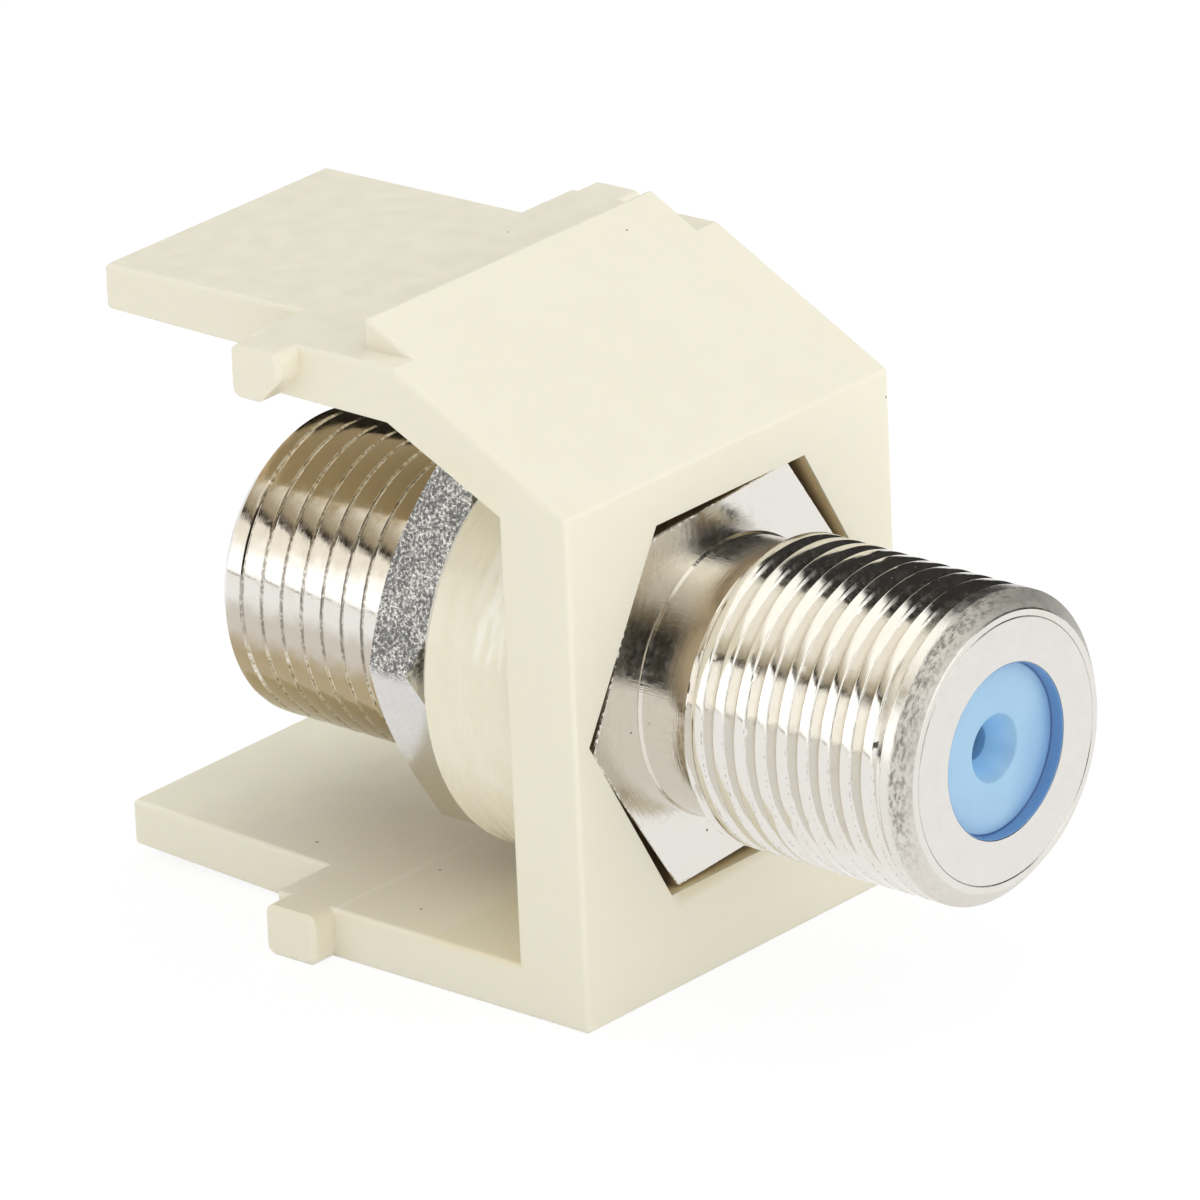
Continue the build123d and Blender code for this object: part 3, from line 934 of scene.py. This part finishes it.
def nickelPlate(facts, at):
    nickelZones(facts, at)
    place, upDown = at["place"], at["upDown"]
    stain = maths("MAXIMUM", patchy(place, facts["blotchPattern"], 0.0, facts["blotchShare"]),
                  remap(at["groove"], facts["root"], 0.0, facts["rootShare"]))
    colour = mixColour(stain, facts["colour"], facts["stain"])
    # Painted reflection: the rear thread dims towards its upper and lower side
    reflectionFringe = plus(remap(upDown, *facts["fringeAbove"]), remap(upDown, *facts["fringeBelow"]))
    colour = mixColour(times(reflectionFringe, at["rear"]), colour, facts["reflectionFringe"])
    colour = flangeToneAndReflections(facts, at, colour)
    colour = wornCrests(facts, at, colour)
    colour = addSpots(at, colour, facts["flangePits"], facts["pitCore"], facts["darkMarksAndShade"])
    colour = rearPaintedReflection(facts, at, colour)
    colour = chamferSpeckle(facts, at, colour)
    matt = plus(times(at["beigeReflection"], facts["beigeMatt"]), times(at["brown"], facts["frontMatt"]))
    matt = maths("MAXIMUM", matt, times(at["chips"], facts["glintMatt"]))
    rough = plus(patchy(place, facts["wearPattern"], *facts["roughness"]),
                 times(at["neck"], facts["neckRoughness"]), times(at["end"], facts["endRoughness"]),
                 times(at["beigeReflection"], facts["beigeRoughness"]), ramp(at["along"], *facts["lastLand"]))
    return {
        "Base Color": colour,
        "Metallic": minus(1.0, matt),
        "Roughness": rough,
        "Normal": bump(nickelRelief(facts, at), *facts["bump"]),
    }


satin = {
    "colour": (0.79, 0.77, 0.73, 1),
    "roughness": (0.26, 0.4),
    "wearPattern": (0.4, 3, 0.3, 0.7),
    "facingMarks": (0.05, 3),
    "facingStretch": 0.08,  # mm of pattern for each radian
    "grain": (0.12, 3),
    "bump": (0.35, 0.007),
}


def satinRing(facts, at):
    faced = vector(at["radius"], at["along"], times(at["angle"], facts["facingStretch"] * mm))
    marks = plus(noise(faced, *facts["facingMarks"]), noise(at["place"], *facts["grain"]))
    return {
        "Base Color": facts["colour"],
        "Metallic": 1.0,
        "Roughness": patchy(at["place"], facts["wearPattern"], *facts["roughness"]),
        "Normal": bump(marks, *facts["bump"]),
    }


blue = {
    "colour": (0.320, 0.520, 0.695, 1),
    # painted shade colour, also the tone of the faint random patches
    "wall": (0.15, 0.31, 0.59, 1),
    "wallShadeReach": ((2.59, 2.62), 0, 1),
    # painted shade in the collar's corner
    "corner": (0.05, 0.12, 0.32, 1),
    "cornerShadeReach": ((2.54, 2.58), (2.629, 2.615)),
    "funnel": (0.28, 0.53, 0.80, 1),
    "funnelReach": (1.05, 0.75),
    "lowShadeTurn": -25,
    "lowSideShade": ((0.9, 2.5), 0, 0.55),
    "edgeShadeReach": ((2.1, 2.5), 0, 0.15),
    "patchPattern": (0.9, 2, 0.3, 0.7),
    "patchShare": 0.08,
    "roughness": 0.28,
    "ripple": (0.25, 2),
    "bump": (0.2, 0.01),
    "scatter": 0.1,
    "scatterReach": (0.0002, 0.0003, 0.0005),
}


def bluePlastic(facts, at):
    place, radius = at["place"], at["radius"]
    # Deeper colour in the funnel; painted shade towards the lower right, on the collar's wall and in its
    # corner
    colour = mixColour(ramp(radius, facts["funnelReach"]), facts["colour"], facts["funnel"])
    low = maths("COSINE", angleFrom(at, facts["lowShadeTurn"]))
    for where, span in ((times(radius, low), "lowSideShade"), (radius, "edgeShadeReach"), (radius, "wallShadeReach")):
        colour = mixColour(ramp(where, *facts[span]), colour, facts["wall"])
    colour = mixColour(band(radius, *facts["cornerShadeReach"]), colour, facts["corner"])
    patches = patchy(place, facts["patchPattern"], 0, facts["patchShare"])
    return {
        "Base Color": mixColour(patches, colour, facts["wall"]),
        "Roughness": facts["roughness"],
        "Subsurface Weight": facts["scatter"],
        "Subsurface Radius": facts["scatterReach"],
        "Subsurface Scale": 1.0,
        "Normal": bump(noise(place, *facts["ripple"]), *facts["bump"]),
    }


spring = {
    "colour": (0.70, 0.58, 0.38, 1),
    "roughness": (0.2, 0.35),
    "wearPattern": (0.3, 3, 0.3, 0.7),
    "grain": (0.08, 2),
    "bump": (0.2, 0.01),
}


def contactMetal(facts, at):
    return {
        "Base Color": facts["colour"],
        "Metallic": 1.0,
        "Roughness": patchy(at["place"], facts["wearPattern"], *facts["roughness"]),
        "Normal": bump(noise(at["place"], *facts["grain"]), *facts["bump"]),
    }


tumbled = {
    "colour": (0.70, 0.69, 0.665, 1),
    "grain": (0.11, 2, 0.6),
    "grainLevels": (0.3, 0.7),
    # dark pits, partly painted shade on the flats that face up
    "pit": (0.13, 0.13, 0.135, 1),
    "pitLevels": (0.30, 0.64),
    "pitShare": 0.92,
    "patchPattern": (0.7, 3, 0.3, 0.7),
    "patchShift": (-0.05, 0.05),
    "upward": ((-0.02, 0.08), 0.06, 1.0),  # sines of the angle round the bore, as below
    # painted warm reflection on the flats that face down
    "paintedReflection": (0.62, 0.55, 0.44, 1),
    "paintedReflectionSide": ((-0.35, -0.75), 0, 0.5),
    "roughness": (0.12, 0.24),
    "bump": (0.35, 0.03),
}


def roughNickel(facts, at):
    sine = maths("SINE", at["angle"])
    # The flats that face up were tumbled rough and get dark pits, their darkness partly painted shade; the
    # ones that face down stayed smoother and get a painted warm reflection
    upward = remap(sine, *facts["upward"])
    grain = noise(at["place"], *facts["grain"])
    patches = patchy(at["place"], facts["patchPattern"], *facts["patchShift"])
    pits = remap(plus(grain, patches), facts["pitLevels"])
    colour = mixColour(remap(sine, *facts["paintedReflectionSide"]), facts["colour"], facts["paintedReflection"])
    colour = mixColour(times(pits, upward, facts["pitShare"]), colour, facts["pit"])
    return {
        "Base Color": colour,
        "Metallic": 1.0,
        "Roughness": remap(grain, facts["grainLevels"], *facts["roughness"]),
        "Normal": bump(times(grain, -1.0, upward), *facts["bump"]),
    }


finishes = {
    "housing": makeFinish(ivoryPlastic, ivory),
    "connector_body": makeFinish(nickelPlate, nickel),
    "front_ring": makeFinish(satinRing, satin),
    "front_insulator": makeFinish(bluePlastic, blue),
    "center_contact": makeFinish(contactMetal, spring),
    "hex_nut": makeFinish(roughNickel, tumbled),
}
finishes["rear_insulator"] = finishes["front_insulator"]
for name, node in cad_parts.items():
    node.data.materials.clear()
    node.data.materials.append(finishes[name])
print("finishes made:", len(finishes))


turnedTree = turnedThreadTree(coupler)


def turnPiece(name, node, rows, segments):
    # Sweeps one outline round the bore axis and lets the result stand for the CAD node
    holder = bpy.data.objects.new("outline", outlineMesh("outline", rows))
    scene.collection.objects.link(holder)
    fadeFrom, fadeTo = coupler["fade"]
    values = {
        "Pitch": coupler["pitch"] * mm,
        "Crest Radius": coupler["crest"] * mm,
        "Flange Turn": math.radians(coupler["flangeTurn"]),
        "Fade From": fadeFrom * mm,
        "Fade To": fadeTo * mm,
        "Raggedness": coupler["raggedness"] * mm,
        "Ragged Size": coupler["raggedSize"] * mm,
        "Axis Height": boreHeight * mm,
        "Depth Zero": depthZero * mm,
        "Segments": segments,
        "Finish": finishes[node],
    }
    mesh = applyTree(holder, turnedTree, values)
    bpy.data.objects.remove(holder)
    cleanMesh(mesh)
    piece = bpy.data.objects.new(name, mesh)
    scene.collection.objects.link(piece)
    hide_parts(node)
    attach(piece, "root")
    print(name, "turned:", len(rows), "rows,", len(mesh.polygons), "faces")


insulator = {
    "mouth": 0.015,
    "mouthBreak": 0.01,
    "nose": 2.66,
    "collarWall": 0.03,
    "collarBreak": 0.02,
    "recess": 0.42,
    "corner": 0.05,
    "cornerSteps": 5,
    "funnel": 1.0,
    "funnelDepth": 0.8,
    "lip": 0.1,
    "lipSteps": 6,
    "throat": 0.55,
    "seat": 0.99,
    "seatDepth": 1.0,
    "flange": 3.26,
    "flangeLength": 1.6,
    "shoulder": 1.2,
    "segments": 144,
}

ring = {"outer": 4.01, "inner": 2.67, "length": 1.2, "edge": 0.02, "innerEdge": 0.01, "segments": 192}


def curvedCorner(centre, radius, first, last, steps):
    # Points of an arc in the half section, angles in degrees
    found = []
    for i in range(steps + 1):
        turn = math.radians(first + (last - first) * i / steps)
        found.append((centre[0] + radius * math.cos(turn), centre[1] + radius * math.sin(turn)))
    return found


def insulatorRows(facts, end, inward):
    nose, mouth, broken, collar = facts["nose"], facts["mouth"], facts["mouthBreak"], facts["collarBreak"]
    inner, corner, lip, recess = nose - facts["collarWall"], facts["corner"], facts["lip"], facts["recess"]
    back = facts["shoulder"] + facts["flangeLength"]
    seat = back - facts["seatDepth"]
    slope = math.degrees(math.atan2(facts["funnel"] - facts["throat"], facts["funnelDepth"]))
    points = [(back, facts["seat"]), (back, facts["flange"]), (facts["shoulder"], facts["flange"])]
    points += [(facts["shoulder"], nose), (mouth + broken, nose), (mouth, nose - broken)]
    points += [(mouth, inner + collar), (mouth + collar, inner)]
    points += curvedCorner((recess - corner, inner - corner), corner, 90, 0, facts["cornerSteps"])
    points += curvedCorner((recess + lip, facts["funnel"] + lip), lip, 180, 270 - slope, facts["lipSteps"])
    points += [(recess + facts["funnelDepth"], facts["throat"])]
    points += [(seat, facts["throat"]), (seat, facts["seat"])]
    return [ringRow(end + inward * depth, radius) for depth, radius in points]


def ringRows(facts):
    front, back = coupler["frontEnd"], coupler["frontEnd"] + facts["length"]
    edge, inside, inner, outer = facts["edge"], facts["innerEdge"], facts["inner"], facts["outer"]
    points = [(front, inner + inside), (front, outer - edge), (front + edge, outer)]
    points += [(back, outer), (back, inner), (front + inside, inner)]
    return [ringRow(depth, radius) for depth, radius in points]


bodyRows = frontRows(coupler) + flangeRows(coupler) + rearRows(coupler) + insideRows(coupler)
turnPiece("threadedBody", "connector_body", bodyRows, coupler["segments"])
turnPiece("facedRing", "front_ring", ringRows(ring), ring["segments"])
for side, inward in (("front", 1), ("rear", -1)):
    rows = insulatorRows(insulator, coupler[side + "End"], inward)
    turnPiece(side + "Insulator", side + "_insulator", rows, insulator["segments"])
